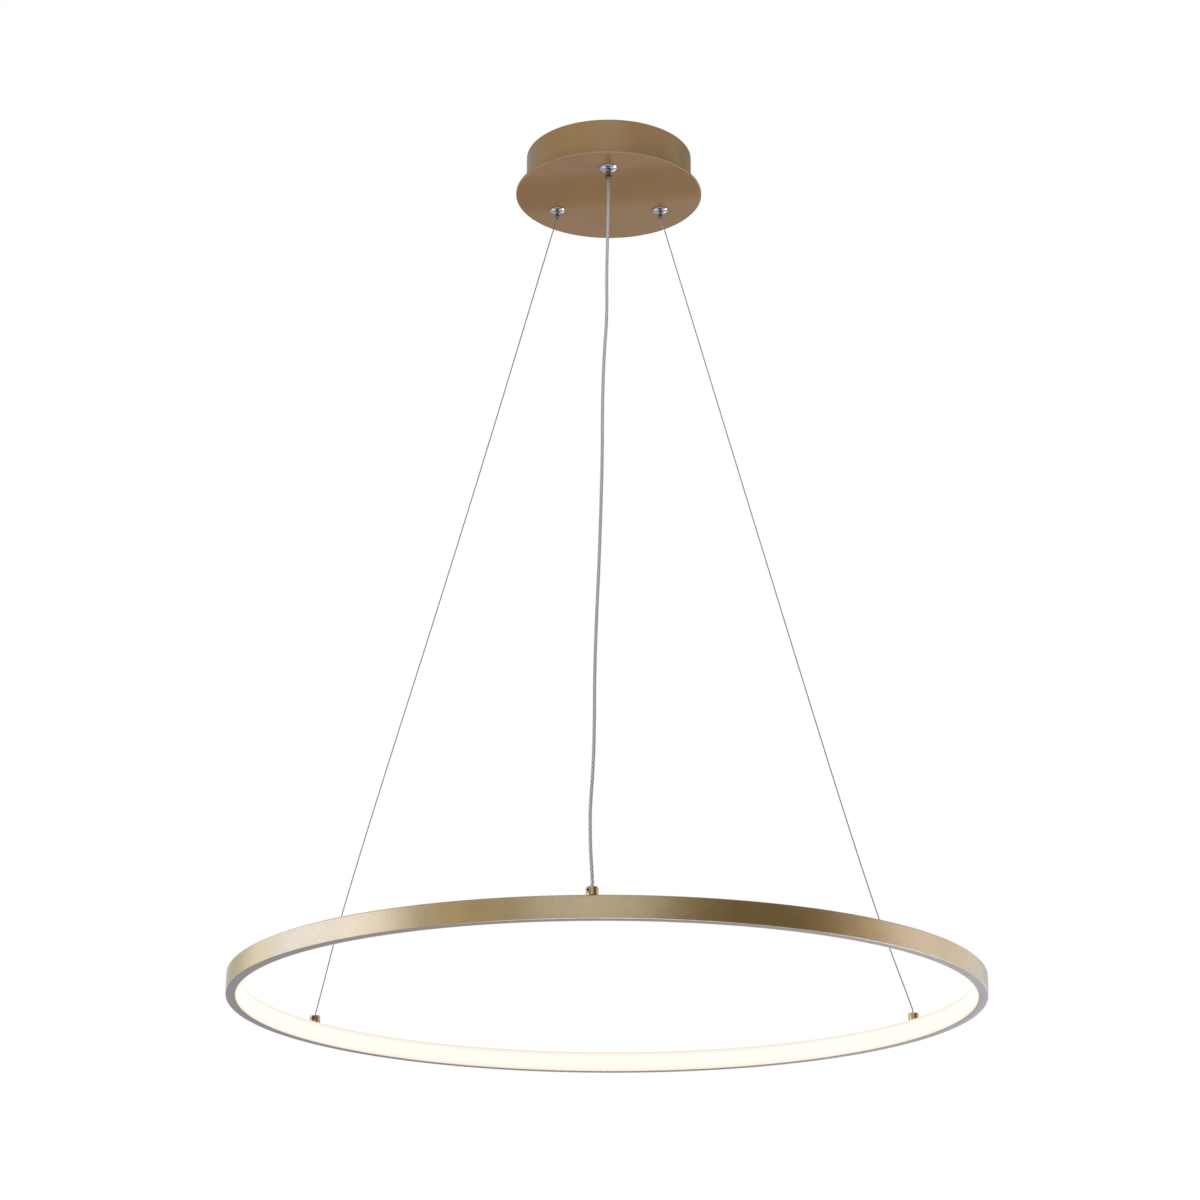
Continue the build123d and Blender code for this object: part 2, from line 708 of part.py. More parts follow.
# Leads from the terminal block to the driver and to the earth point
lead_z = plate_top + lead_height
driver_end = driver_length / 2
case_depth = driver_wall + lead_end_depth
block_face = terminal_y - terminal_width / 2
pole_inside = block_face + terminal_lead_depth
live_x, neutral_x, earth_x = pole_xs[0], pole_xs[1], pole_xs[-1]
for lead_name, start_x, place, side in (("live_lead", live_x, 0, -1), ("neutral_lead", neutral_x, 1, 1)):
    run_y = block_face - lead_run_gap - place * lead_run_pitch
    turn_x = driver_end + lead_turn_gap + (1 - place) * lead_turn_pitch
    end_y = driver_y + side * output_spacing
    route = [
        (start_x, pole_inside, lead_z), (start_x, run_y, lead_z), (-turn_x, run_y, lead_z),
        (-turn_x, end_y, lead_z), (-driver_end + case_depth, end_y, lead_z),
    ]
    parts[lead_name] = tube_along(route, lead_bend_radius, lead_diameter)

earth_run_y = block_face - lead_run_gap
earth_route = [
    (earth_x, pole_inside, lead_z), (earth_x, earth_run_y, lead_z),
    (earth_screw_x, earth_run_y, barrel_z - earth_lead_drop),
    (earth_screw_x, barrel_end + earth_lead_gap, barrel_z),
    (earth_screw_x, barrel_start + lug_barrel_end + lug_lead_gap, barrel_z),
]
parts["earth_lead"] = tube_along(earth_route, lead_bend_radius, lead_diameter)

# Connector between the driver's output leads and the cord's tail
plug_z = plate_top + plug_height / 2
plug = rounded_box(plug_length, plug_width, plug_height, small_corner_radius)
finger_groove = Box(plug_length / 2, 2 * plug_groove_depth, plug_height / 2)
for side in (-1, 1):
    plug -= Pos(0, side * plug_width / 2, plug_height / 2) * finger_groove
parts["output_socket"] = Pos(plug_x - plug_length / 2, plug_y, plate_top) * plug
parts["output_plug"] = Pos(plug_x + plug_length / 2, plug_y, plate_top) * plug
output_leads = []
for side in (-1, 1):
    lead_y = driver_y + side * output_spacing
    turn_x = driver_end + lead_turn_gap + side * output_turn_pitch / 2
    plug_lead_y = plug_y - side * output_spacing / 2
    route = [
        (driver_end - case_depth, lead_y, lead_z), (turn_x, lead_y, lead_z),
        (turn_x - output_lean, plug_lead_y, plug_z), (plug_x + plug_length, plug_lead_y, plug_z),
    ]
    output_leads.append(tube_along(route, lead_bend_radius, lead_diameter))
parts["output_leads"] = group(output_leads)


# Ball grippers: each holds its line by balls in a cone, and lets go when its plunger is pushed up
def cone_layout(grip):
    """Heights and radii inside one gripper, counted from the plate's underside."""
    slope = tan(radians(cone_angle))
    ball_radius = grip.ball_diameter / 2
    ball_centre = grip.line_diameter / 2 + ball_radius + ball_clearance
    throat = grip.tube_diameter / 2 + plunger_clearance
    bore = grip.sleeve_diameter / 2 - grip_sleeve_wall
    cone_low = plate_thickness
    cone_high = cone_low + (bore - throat) / slope
    cone_at_ball = ball_centre + (ball_radius + ball_clearance) / cos(radians(cone_angle))
    ball_height = cone_low + (cone_at_ball - throat) / slope
    cage_low = ball_height - ball_radius - cage_under_ball
    head_low = max(ball_height + ball_radius + cage_over_ball, cone_high - plunger_clearance)
    head_high = head_low + plunger_head_height
    cap_low = head_high + grip.spring_solid_height + plunger_travel
    return {
        "throat": throat, "bore": bore, "cone_low": cone_low, "cone_high": cone_high,
        "ball_centre": ball_centre, "ball_height": ball_height, "cage_low": cage_low,
        "cage_radius": throat + (cage_low - cone_low) * slope - 2 * plunger_clearance,
        "head_low": head_low, "head_high": head_high,
        "cap_low": cap_low, "sleeve_top": cap_low + grip_cap_depth,
        "cap_top": cap_low + grip_cap_depth + grip_cap_flange,
    }


def grip_body(grip, lay):
    """Domed flange and threaded sleeve with the cone inside."""
    flange = grip.flange_diameter / 2
    sleeve = grip.sleeve_diameter / 2
    rim = (flange, -flange_edge)
    land = (lay["throat"] + dome_land, -grip.dome_height)
    return turned(
        Polyline(land, (lay["throat"], -grip.dome_height), (lay["throat"], lay["cone_low"]),
                 (lay["bore"], lay["cone_high"]), (lay["bore"], lay["sleeve_top"]),
                 (sleeve, lay["sleeve_top"]), (sleeve, 0), (flange, 0), rim),
        SagittaArc(rim, land, dome_bulge))


def grip_plunger(grip, lay):
    """Release tube with a cage for the balls and a head for the spring."""
    tube = grip.tube_diameter / 2
    bore = grip.line_diameter / 2 + line_clearance
    low = grip.mouth_depth - grip.reach
    head = lay["bore"] - plunger_clearance
    body = turned_points(
        (bore, low), (tube, low), (tube, lay["cage_low"]), (lay["cage_radius"], lay["cage_low"]),
        (lay["cage_radius"], lay["head_low"]), (head, lay["head_low"]), (head, lay["head_high"]),
        (bore, lay["head_high"]))
    pocket = Rot(90, 0, 0) * Cylinder(grip.ball_diameter / 2 + ball_clearance, lay["bore"])
    pocket = Pos(0, -lay["bore"] / 2, lay["ball_height"]) * pocket
    for index in range(ball_count):
        body -= Rot(0, 0, index * 360 / ball_count) * pocket
    return body


def release_collar(grip):
    """Collar on the plunger's tip, with a wide mouth for the line."""
    outer = grip.collar_diameter / 2
    seat = grip.tube_diameter / 2 + thread_clearance
    mouth = grip.mouth_diameter / 2
    low = -grip.reach
    step = low + grip.mouth_depth
    high = low + grip.collar_height
    return turned_points(
        (mouth, low), (outer - collar_chamfer, low), (outer, low + collar_chamfer),
        (outer, high - collar_chamfer), (outer - collar_chamfer, high),
        (seat, high), (seat, step), (mouth, step))


def grip_cap(grip, lay):
    """Plug that closes the sleeve over the spring."""
    bore = grip.line_diameter / 2 + line_clearance
    plug_radius = lay["bore"] - thread_clearance
    flange = grip.sleeve_diameter / 2
    return turned_points(
        (bore, lay["cap_low"]), (plug_radius, lay["cap_low"]), (plug_radius, lay["sleeve_top"]),
        (flange, lay["sleeve_top"]), (flange, lay["cap_top"]), (bore, lay["cap_top"]))


locknuts = {}
caps = {}
for name, angle in gripper_angles.items():
    grip = grips[name]
    lay = cone_layout(grip)
    spot = Pos(*at_angle(gripper_radius, angle, plate_bottom)) * Rot(0, 0, angle)
    ball = Pos(0, -lay["ball_centre"], lay["ball_height"]) * Sphere(grip.ball_diameter / 2)
    spring_radius = lay["bore"] - 2 * plunger_clearance
    nut_bore = grip.sleeve_diameter / 2 + thread_clearance
    nut_high = plate_thickness + grip.nut_height
    parts["grip_body_" + name] = spot * grip_body(grip, lay)
    parts["plunger_" + name] = spot * grip_plunger(grip, lay)
    parts["release_collar_" + name] = spot * release_collar(grip)
    parts["grip_balls_" + name] = group(
        spot * Rot(0, 0, index * 360 / ball_count) * ball for index in range(ball_count))
    parts["grip_spring_" + name] = spot * rod(
        spring_radius, lay["head_high"], lay["cap_low"], spring_radius - grip.spring_wire)
    locknuts[name] = spot * hex_nut(grip.nut_flats, plate_thickness, nut_high, nut_bore)
    caps[name] = spot * grip_cap(grip, lay)
parts["wire_grip_locknuts"] = group([locknuts["left"], locknuts["right"]])
parts["cord_grip_locknut"] = locknuts["cord"]
parts["wire_grip_caps"] = group([caps["left"], caps["right"]])
parts["cord_grip_cap"] = caps["cord"]


# Lines: straight wires, the waved cord, and the cord's tail in the canopy
def line_ends(name):
    """Top of the gripper, bend at its mouth, bend over the ferrule and lower end of one line."""
    grip = grips[name]
    top = plate_bottom + cone_layout(grip)["cap_top"]
    exit_height = plate_bottom - grip.reach + grip.bend_depth
    entry_height = ferrule_top + grip.line_diameter
    return (
        at_angle(gripper_radius, gripper_angles[name], top),
        at_angle(gripper_radius, gripper_angles[name], exit_height),
        at_angle(hanger_radius, hanger_angles[name], entry_height),
        at_angle(hanger_radius, hanger_angles[name], line_bottoms[name]),
    )


def add_line(node, points, radii, diameter):
    """Add a line's tube, and print its bends, length and volume over section times length."""
    parts[node] = tube_along(points, radii, diameter)
    length = FilletPolyline(*points, radius=radii).length
    share = parts[node].volume / (pi * diameter ** 2 / 4 * length)
    bends = " ".join(f"{radius:.0f}" for radius in radii)
    print(f"{node}: length {length:.1f}, volume share {share:.4f}, radii {bends}")


for name in ("left", "right"):
    top, exit_point, entry, end = line_ends(name)
    tail_end = (top[0], top[1], top[2] + wire_tail)
    add_line("wire_" + name, [tail_end, exit_point, entry, end], [wire_bend_radius] * 2, wire_diameter)

top, exit_point, entry, end = line_ends("cord")
points = [top, exit_point, *cord_route, entry, end]
radii = [cord_bend_radius, *largest_radii(points)[1:-1], cord_bend_radius]
add_line("power_cord", points, radii, cord_diameter)

tail_top = top[2] + tail_rise
tail_points = [
    top, (top[0], top[1], tail_top), (*tail_bend, tail_top - tail_bend_fall),
    (tail_turn_x, plug_y, plug_z), (plug_x - plug_length, plug_y, plug_z),
]
add_line("cord_tail", tail_points, [cord_bend_radius, *largest_radii(tail_points)[1:]], cord_diameter)

os.makedirs("parts", exist_ok=True)
for node, shape in parts.items():
    shape.label = node
    export_step(shape, f"parts/{node}.step")
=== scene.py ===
import bpy
import json
from math import cos, pi, radians, sin, tau
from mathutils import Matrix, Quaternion, Vector

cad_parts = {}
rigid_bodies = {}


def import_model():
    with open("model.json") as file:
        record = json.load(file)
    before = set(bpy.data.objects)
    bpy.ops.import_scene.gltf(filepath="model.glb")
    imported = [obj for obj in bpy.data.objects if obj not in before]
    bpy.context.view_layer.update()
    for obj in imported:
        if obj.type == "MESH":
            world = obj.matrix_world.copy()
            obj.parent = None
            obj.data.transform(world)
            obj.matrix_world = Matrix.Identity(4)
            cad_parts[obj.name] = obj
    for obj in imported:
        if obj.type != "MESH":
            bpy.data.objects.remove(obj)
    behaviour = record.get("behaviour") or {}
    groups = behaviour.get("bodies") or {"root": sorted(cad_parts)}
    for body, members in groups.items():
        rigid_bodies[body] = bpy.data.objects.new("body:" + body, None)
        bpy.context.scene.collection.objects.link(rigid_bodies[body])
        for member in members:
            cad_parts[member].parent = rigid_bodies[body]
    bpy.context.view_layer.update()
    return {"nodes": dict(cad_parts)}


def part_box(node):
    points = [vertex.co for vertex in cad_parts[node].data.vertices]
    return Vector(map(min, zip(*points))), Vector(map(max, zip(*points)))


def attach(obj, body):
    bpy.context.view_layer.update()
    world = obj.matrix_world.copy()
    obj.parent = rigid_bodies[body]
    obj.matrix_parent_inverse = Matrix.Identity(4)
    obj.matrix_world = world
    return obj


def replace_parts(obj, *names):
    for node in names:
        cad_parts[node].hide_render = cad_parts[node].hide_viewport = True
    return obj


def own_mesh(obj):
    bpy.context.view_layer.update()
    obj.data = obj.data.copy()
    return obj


# A ring pendant: a lit ring hung by two steel wires and a power cord from a round ceiling canopy.
# Sizes are in metres, in the frame of the solids: the origin is on the ceiling and the front is -Y.

# Start from an empty scene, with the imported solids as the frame
for leftover in list(bpy.data.objects):
    bpy.data.objects.remove(leftover)
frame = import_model()
nodes = frame["nodes"]
scene = bpy.context.scene
scene.view_settings.view_transform = "Standard"

# Camera, fitted to the outlines of ring, canopy and lines
camera_place = Vector((0.0121, -2.2578, -1.2091))
camera_pitch = radians(19.478)
camera_yaw = radians(-0.471)
camera_roll = radians(0.189)
camera_lens = 86.4
camera_sensor = 36.0
camera_clip = 0.05

# Ring and diffuser
ring_segments = 384
flange_depth = 0.0074
profile_wall = 0.0012
profile_bevel = 0.0005
snap_rib_depth = 0.0006
snap_rib_height = 0.0006
edge_softness = 0.00012
corner_steps = 3
diffuser_gap = 0.00015
diffuser_edge_gap = 0.0002
diffuser_thickness = 0.0016
diffuser_crown = 0.0005
crown_steps = 12
sharp_angle = radians(40)

# Lines: diameters, lengths and meshing
wire_diameter = 0.001
wire_strands = 6
wire_sides = 3 * wire_strands
wire_lay = 0.008
wire_groove = 0.05
wire_step = 0.001
wire_resolution = 700
cord_diameter = 0.0026
cord_step = 0.0015
cord_sides = 20
cord_resolution = 40
spline_order = 3

# Grip springs
spring_wires = {"left": 0.0005, "right": 0.0005, "cord": 0.0006}
spring_turns = 4.0
steps_per_turn = 24
coil_sides = 8

# Finishes: linear colours, places of special tones, among them painted highlight and painted shade, and how
# these differ
ring_tone = (0.315, 0.19, 0.04)
# Plate and drum carry the same paint; the plate's tone is a darker copy of it, a painted shade on its
# downward face
plate_shaded_tone = (0.25, 0.132, 0.041)
drum_tone = (0.247, 0.148, 0.0527)
bare_aluminium = (0.265, 0.25, 0.272)
bare_edge = 0.0003
bare_metal = 0.9
# Painted highlight on the plate's rim: the chamfer's width and how much lighter it is painted
plate_chamfer = 0.0004
rim_highlight_gain = 1.6
# Painted shade at the flanges' seam with the plate: its height and how dark it is
painted_shade_height = 0.00045
painted_shade_share = 0.12
flake_share = 0.6
braid_pitch = 0.0042
braid_turns = 4
noise_ends = (0.3, 0.7)

# Clear coats: weight, index and roughness
ring_coat = (1.0, 2.0, 0.34)
plate_coat = (0.5, 1.5, 0.035)
drum_coat = (0.5, 1.5, 0.14)

# Screen colours: full level, the level where the curve starts and the curve's own values
screen_white = 255
curve_start = 10
curve_slope = 12.92
curve_shift = 0.055
curve_power = 2.4

# Stage: floor, surround, and heights and tints of the panels that reflections show
floor_half = 30.0
floor_level = -2.6
floor_glow = 0.3
surround_light = 0.45
surround_seen = 1.0
panel_reach = 3.0
spot_level = -2.55
ground, low_side, high_side, tall_side, roof = -2.5, -0.9, 0.6, 1.2, 3.2
plain = (1.0, 1.0, 1.0)
fresh = (0.95, 1.0, 1.05)
cool = (1.0, 1.12, 1.26)
cold = (0.98, 1.22, 1.6)
warm = (1.0, 0.98, 0.9)
amber = (1.1, 0.92, 0.66)


def camera():
    """Camera at the photograph's viewing angle."""
    data = bpy.data.cameras.new("camera")
    data.lens = camera_lens
    data.sensor_width = camera_sensor
    data.clip_start = camera_clip
    obj = bpy.data.objects.new("camera", data)
    forward = Vector((
        sin(camera_yaw) * cos(camera_pitch), cos(camera_yaw) * cos(camera_pitch), sin(camera_pitch)))
    obj.location = camera_place
    obj.rotation_mode = "QUATERNION"
    obj.rotation_quaternion = forward.to_track_quat("-Z", "Y") @ Quaternion((0, 0, 1), camera_roll)
    scene.collection.objects.link(obj)
    scene.camera = obj


# Colours
def linear(red, green, blue):
    """Linear colour from 0 to 255 screen values."""
    colour = []
    for level in (red, green, blue):
        share = level / screen_white
        if level <= curve_start:
            colour.append(share / curve_slope)
        else:
            colour.append(((share + curve_shift) / (1 + curve_shift)) ** curve_power)
    return tuple(colour)


def tone(colour, share):
    """A colour made darker or lighter."""
    return tuple(min(1.0, channel * share) for channel in colour)


# Materials
class Shader:
    """A material's node tree, around its Principled shader."""

    def __init__(self, name, **settings):
        self.material = bpy.data.materials.new(name)
        self.material.use_nodes = True
        self.tree = self.material.node_tree
        self.principled = self.tree.nodes["Principled BSDF"]
        self.set(self.principled, settings)

    def feed(self, socket, value):
        """Link an input to another node's output, or give it its own value."""
        if isinstance(value, bpy.types.NodeSocket):
            self.tree.links.new(value, socket)
        else:
            socket.default_value = value

    def set(self, node, values):
        """Set or link a node's inputs, named with underscores for spaces."""
        for name, value in values.items():
            self.feed(node.inputs[name.replace("_", " ")], value)

    def add(self, kind, output=0, options=None, **values):
        """Add a node and return one of its outputs."""
        node = self.tree.nodes.new("ShaderNode" + kind)
        for name, value in (options or {}).items():
            setattr(node, name, value)
        self.set(node, values)
        return node.outputs[output]

    def math(self, operation, first, second=0.0):
        """Result of one sum on two numbers."""
        node = self.tree.nodes.new("ShaderNodeMath")
        node.operation = operation
        self.feed(node.inputs[0], first)
        self.feed(node.inputs[1], second)
        return node.outputs[0]

    def ramp(self, factor, *stops):
        """Colour by a factor, from (place, colour) stops."""
        node = self.tree.nodes.new("ShaderNodeValToRGB")
        elements = node.color_ramp.elements
        while len(elements) < len(stops):
            elements.new(0.5)
        for element, (place, colour) in zip(elements, stops):
            element.position = place
            element.color = (*colour, 1.0)
        self.tree.links.new(factor, node.inputs["Fac"])
        return node.outputs["Color"]

    def mottled(self, factor, colour, shares, places=noise_ends):
        """A colour that goes from one share of itself to another between two places of a factor."""
        return self.ramp(factor, *((place, tone(colour, share)) for place, share in zip(places, shares)))

    def blend(self, factor, first, second):
        """Mix of two colours by a factor."""
        node = self.tree.nodes.new("ShaderNodeMix")
        node.data_type = "RGBA"
        self.tree.links.new(factor, node.inputs["Factor"])
        for name, colour in (("A", first), ("B", second)):
            socket = next(item for item in node.inputs if item.name == name and item.type == "RGBA")
            self.feed(socket, colour if isinstance(colour, bpy.types.NodeSocket) else (*colour, 1.0))
        return next(item for item in node.outputs if item.type == "RGBA")

    def recolour(self, first, second, colour):
        """Another base colour where two conditions both hold."""
        shade = self.principled.inputs["Base Color"].links[0].from_socket
        mixed = self.blend(self.math("MULTIPLY", first, second), shade, colour)
        self.set(self.principled, {"Base Color": mixed})

    def span(self, value, low, high):
        """A 0 to 1 value spread over another range."""
        return self.add("MapRange", Value=value, To_Min=low, To_Max=high)

    def coords(self):
        """Coordinates of the piece itself, in metres."""
        return self.add("TexCoord", output="Object")

    def along(self, axis):
        """One of the piece's own coordinates."""
        return self.add("SeparateXYZ", output=axis, Vector=self.coords())

    def radius_squared(self):
        """Square of the distance from the upright axis."""
        x, y = self.along("X"), self.along("Y")
        return self.math("ADD", self.math("MULTIPLY", x, x), self.math("MULTIPLY", y, y))

    def noise(self, scale, detail=2.0, vector=None):
        """Noise on the piece's own coordinates."""
        return self.add("TexNoise", Vector=vector or self.coords(), Scale=scale, Detail=detail)

    def bump(self, height, depth, strength):
        """Small relief from a height."""
        normal = self.add("Bump", Height=height, Distance=depth, Strength=strength)
        self.set(self.principled, {"Normal": normal})

    def put_on(self, *names):
        """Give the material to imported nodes."""
        for name in names:
            mesh = nodes[name].data
            mesh.materials.clear()
            mesh.materials.append(self.material)
        return self


def pearl_paint(name, colour, metal, contrast, coat, bare_below=None):
    """Champagne pearl paint: gold flakes under a clear coat, and bare metal below a height."""
    weight, index, roughness = coat
    shader = Shader(
        name, Specular_IOR_Level=0.2, Coat_Weight=weight, Coat_IOR=index, Coat_Roughness=roughness)
    flakes = shader.noise(scale=1300.0, detail=1.0)
    clouds = shader.noise(scale=22.0, detail=3.0)
    peel = shader.noise(scale=900.0)
    mixed = shader.math(
        "ADD", shader.math("MULTIPLY", flakes, flake_share), shader.math("MULTIPLY", clouds, 1 - flake_share))
    shade = shader.mottled(mixed, colour, shares=(1 - contrast, 1 + contrast))
    if bare_below is not None:
        radius = shader.math("SQRT", shader.radius_squared())
        lines = shader.add("TexNoise", options={"noise_dimensions": "1D"}, W=radius, Scale=2500.0)
        brushed = shader.mottled(lines, bare_aluminium, shares=(0.9, 1.1), places=(0.35, 0.65))
        bare = shader.math("LESS_THAN", shader.along("Z"), bare_below)
        shade = shader.blend(bare, shade, brushed)
        metal = shader.span(bare, metal, bare_metal)
        shader.set(shader.principled, {"Coat Weight": shader.span(bare, weight, 0.0)})
    shader.set(shader.principled, {
        "Base Color": shade, "Metallic": metal, "Roughness": shader.span(clouds, low=0.4, high=0.5)})
    shader.bump(shader.math("ADD", peel, flakes), depth=0.00001, strength=0.1)
    return shader


def painted_rim_highlight(shader, colour):
    """Painted highlight on the chamfer round the plate's underside: paler paint standing in for the light the
    rim catches.
    """
    low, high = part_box("canopy_plate")
    outside = shader.math("GREATER_THAN", shader.radius_squared(), (high.x - plate_chamfer) ** 2)
    below = shader.math("LESS_THAN", shader.along("Z"), low.z + plate_chamfer)
    shader.recolour(outside, below, tone(colour, rim_highlight_gain))


def painted_seam_shade(shader, colour):
    """Painted shade on the narrow side of the flanges, where they meet the plate: darker metal standing in
    for the shadow in the seam.
    """
    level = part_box("canopy_plate")[0].z
    above = shader.math("GREATER_THAN", shader.along("Z"), level - painted_shade_height)
    below = shader.math("LESS_THAN", shader.along("Z"), level)
    shader.recolour(above, below, tone(colour, painted_shade_share))


def polished(name, colour, roughness, stretch=9.0):
    """Polished or turned metal with fine marks round its axis."""
    shader = Shader(name, Metallic=1.0)
    stretched = shader.add("Mapping", Vector=shader.coords(), Scale=(1.0, 1.0, stretch))
    marks = shader.noise(scale=700.0, detail=3.0, vector=stretched)
    smudges = shader.noise(scale=180.0)
    shade = shader.mottled(smudges, colour, shares=(0.92, 1.04))
    shader.set(shader.principled, {
        "Base Color": shade, "Roughness": shader.span(marks, low=roughness * 0.6, high=roughness * 1.5)})
    shader.bump(marks, depth=0.000004, strength=0.3)
    return shader


def zinc(name, colour):
    """Zinc plated steel with its dull, patchy gloss."""
    shader = Shader(name, Metallic=1.0)
    patches = shader.add("TexVoronoi", Vector=shader.coords(), Scale=420.0)
    grain = shader.noise(scale=1500.0, detail=3.0)
    shade = shader.mottled(patches, colour, shares=(1.1, 0.8), places=(0.0, 1.0))
    shader.set(shader.principled, {"Base Color": shade, "Roughness": shader.span(grain, low=0.25, high=0.45)})
    shader.bump(grain, depth=0.00001, strength=0.3)
    return shader


def moulded(name, colour, roughness, grain_scale=1200.0):
    """Moulded plastic with a fine spark-eroded grain."""
    shader = Shader(name)
    grain = shader.noise(scale=grain_scale)
    clouds = shader.noise(scale=60.0)
    shade = shader.mottled(clouds, colour, shares=(0.94, 1.04))
    shader.set(shader.principled, {
        "Base Color": shade, "Roughness": shader.span(grain, low=roughness - 0.08, high=roughness + 0.08)})
    shader.bump(grain, depth=0.00002, strength=0.4)
    return shader


def opal(low, high):
    """Opal diffuser, lit from behind: white in the middle and warmer towards its edges."""
    shader = Shader("opal", Roughness=0.5, Specular_IOR_Level=0.15, Base_Color=(0.06, 0.058, 0.054, 1.0))
    share = shader.add("MapRange", Value=shader.along("Z"), From_Min=low, From_Max=high)
    white = linear(250, 248, 237)
    glow = shader.ramp(
        share, (0.0, linear(243, 224, 202)), (0.07, linear(249, 240, 226)), (0.25, white),
        (0.75, white), (0.91, linear(244, 236, 224)), (1.0, linear(230, 219, 206)))
    shader.set(shader.principled, {"Emission Color": glow, "Emission Strength": 1.0})
    return shader


def braided_cord():
    """Clear sheath over a fine metal braid, from the tube's length and turn."""
    shader = Shader("braided_cord", Metallic=0.35, Coat_Weight=0.8, Coat_Roughness=0.12, Roughness=0.4)
    place = shader.add("UVMap", options={"uv_map": "UVMap"})
    length = shader.add("SeparateXYZ", output="X", Vector=place)
    around = shader.add("SeparateXYZ", output="Y", Vector=place)
    rise = shader.math("MULTIPLY", length, tau / braid_pitch)
    turn = shader.math("MULTIPLY", around, tau * braid_turns)
    one = shader.math("SINE", shader.math("ADD", turn, rise))
    other = shader.math("SINE", shader.math("SUBTRACT", turn, rise))
    height = shader.span(shader.math("MAXIMUM", one, other), low=0.0, high=1.0)
    shade = shader.ramp(
        height, (0.0, linear(124, 124, 129)), (0.55, linear(165, 165, 171)), (1.0, linear(197, 197, 203)))
    shader.set(shader.principled, {"Base Color": shade})
    shader.bump(height, depth=0.00006, strength=0.5)
    return shader


def earth_lead():
    """Green insulation with a yellow stripe along it."""
    shader = Shader("lead_green_yellow", Roughness=0.4)
    green, yellow = linear(30, 110, 45), linear(225, 195, 40)
    facing = shader.add("SeparateXYZ", output="Z", Vector=shader.add("TexCoord", output="Normal"))
    stripe = shader.ramp(
        shader.span(facing, low=0.0, high=1.0), (0.35, green), (0.4, yellow), (0.75, yellow), (0.8, green))
    shader.set(shader.principled, {"Base Color": stripe})
    shader.bump(shader.noise(scale=800.0), depth=0.00002, strength=0.3)
    return shader


def glowing(name, colour, strength):
    """Lit phosphor with a faint speckle."""
    shader = Shader(name, Roughness=0.5, Emission_Strength=strength)
    speckle = shader.noise(scale=3000.0, detail=1.0)
    shade = shader.mottled(speckle, colour, shares=(0.9, 1.0))
    shader.set(shader.principled, {"Base Color": shade, "Emission Color": shade})
    return shader


# Meshes
def softened(corners, size):
    """Closed outline whose corners are small curves that begin and end at a size from them."""
    outline = []
    for index, here in enumerate(corners):
        start = here + (corners[index - 1] - here).normalized() * size
        end = here + (corners[(index + 1) % len(corners)] - here).normalized() * size
        for step in range(corner_steps + 1):
            share = step / corner_steps
            outline.append(start.lerp(here, share).lerp(here.lerp(end, share), share))
    return outline


def add_piece(name, points, faces, shader, body):
    """Mesh piece that rides on a body."""
    mesh = bpy.data.meshes.new(name)
    mesh.from_pydata(points, [], faces)
    mesh.polygons.foreach_set("use_smooth", [True] * len(faces))
    mesh.set_sharp_from_angle(angle=sharp_angle)
    mesh.materials.append(shader.material)
    mesh.validate()
    obj = bpy.data.objects.new(name, mesh)
    scene.collection.objects.link(obj)
    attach(obj, body)
    return obj


def lathe(section, segments):
    """Points and faces of a closed (radius, height) section turned about Z."""
    count = len(section)
    points = []
    for turn in range(segments):
        angle = tau * turn / segments
        points += [(p.x * cos(angle), p.x * sin(angle), p.y) for p in section]
    faces = []
    for turn in range(segments):
        here, there = turn * count, (turn + 1) % segments * count
        for index in range(count):
            after = (index + 1) % count
            faces.append((here + index, there + index, there + after, here + after))
    return points, faces


def smooth_line(route, resolution):
    """Points along the smooth spline that has a route's points as its control points."""
    curve = bpy.data.curves.new("route", "CURVE")
    curve.dimensions = "3D"
    curve.resolution_u = resolution
    spline = curve.splines.new("NURBS")
    spline.points.add(len(route) - 1)
    for point, place in zip(spline.points, route):
        point.co = (*place, 1.0)
    spline.order_u = spline_order
    spline.use_endpoint_u = True
    holder = bpy.data.objects.new("route", curve)
    mesh = bpy.data.meshes.new_from_object(holder)
    line = [vertex.co.copy() for vertex in mesh.vertices]
    bpy.data.objects.remove(holder)
    bpy.data.curves.remove(curve)
    bpy.data.meshes.remove(mesh)
    return line


def spaced(line, step):
    """The line's points that lie at least a step apart, with both its ends."""
    kept = [line[0]]
    for point in line[1:-1]:
        if (point - kept[-1]).length >= step:
            kept.append(point)
    if (line[-1] - kept[-1]).length < step / 2:
        kept.pop()
    return kept + [line[-1]]


def tube(line, sides, radius_at):
    """Points, faces and face-corner places of a tube whose radius follows length and turn."""
    points = []
    lengths = [0.0]
    side = None
    for index, place in enumerate(line):
        before, after = line[max(index - 1, 0)], line[min(index + 1, len(line) - 1)]
        along = (after - before).normalized()
        side = side or along.orthogonal()
        side = (side - along * side.dot(along)).normalized()
        other = along.cross(side)
        if index:
            lengths.append(lengths[-1] + (place - line[index - 1]).length)
        for number in range(sides):
            angle = tau * number / sides
            radius = radius_at(lengths[-1], angle)
            points.append(place + (side * cos(angle) + other * sin(angle)) * radius)
    faces = []
    places = []
    for ring in range(len(line) - 1):
        low, high = ring * sides, (ring + 1) * sides
        for number in range(sides):
            after = (number + 1) % sides
            faces.append((low + number, low + after, high + after, high + number))
            for row, turn in ((ring, number), (ring, number + 1), (ring + 1, number + 1), (ring + 1, number)):
                places.append((lengths[row], turn / sides))
    last = (len(line) - 1) * sides
    for cap in (tuple(reversed(range(sides))), tuple(range(last, last + sides))):
        faces.append(cap)
        places += [(0.0, 0.0)] * sides
    return points, faces, places


def tube_piece(name, line, sides, radius_at, shader, body):
    """Tube piece with its length and turn as its UV map."""
    points, faces, places = tube(line, sides, radius_at)
    obj = add_piece(name, points, faces, shader, body)
    layer = obj.data.uv_layers.new(name="UVMap")
    layer.data.foreach_set("uv", [value for place in places for value in place])
    return obj


def round_line(diameter):
    """Radius of a round line, as a function of length and turn."""
    def radius_at(length, angle):
        return diameter / 2
    return radius_at


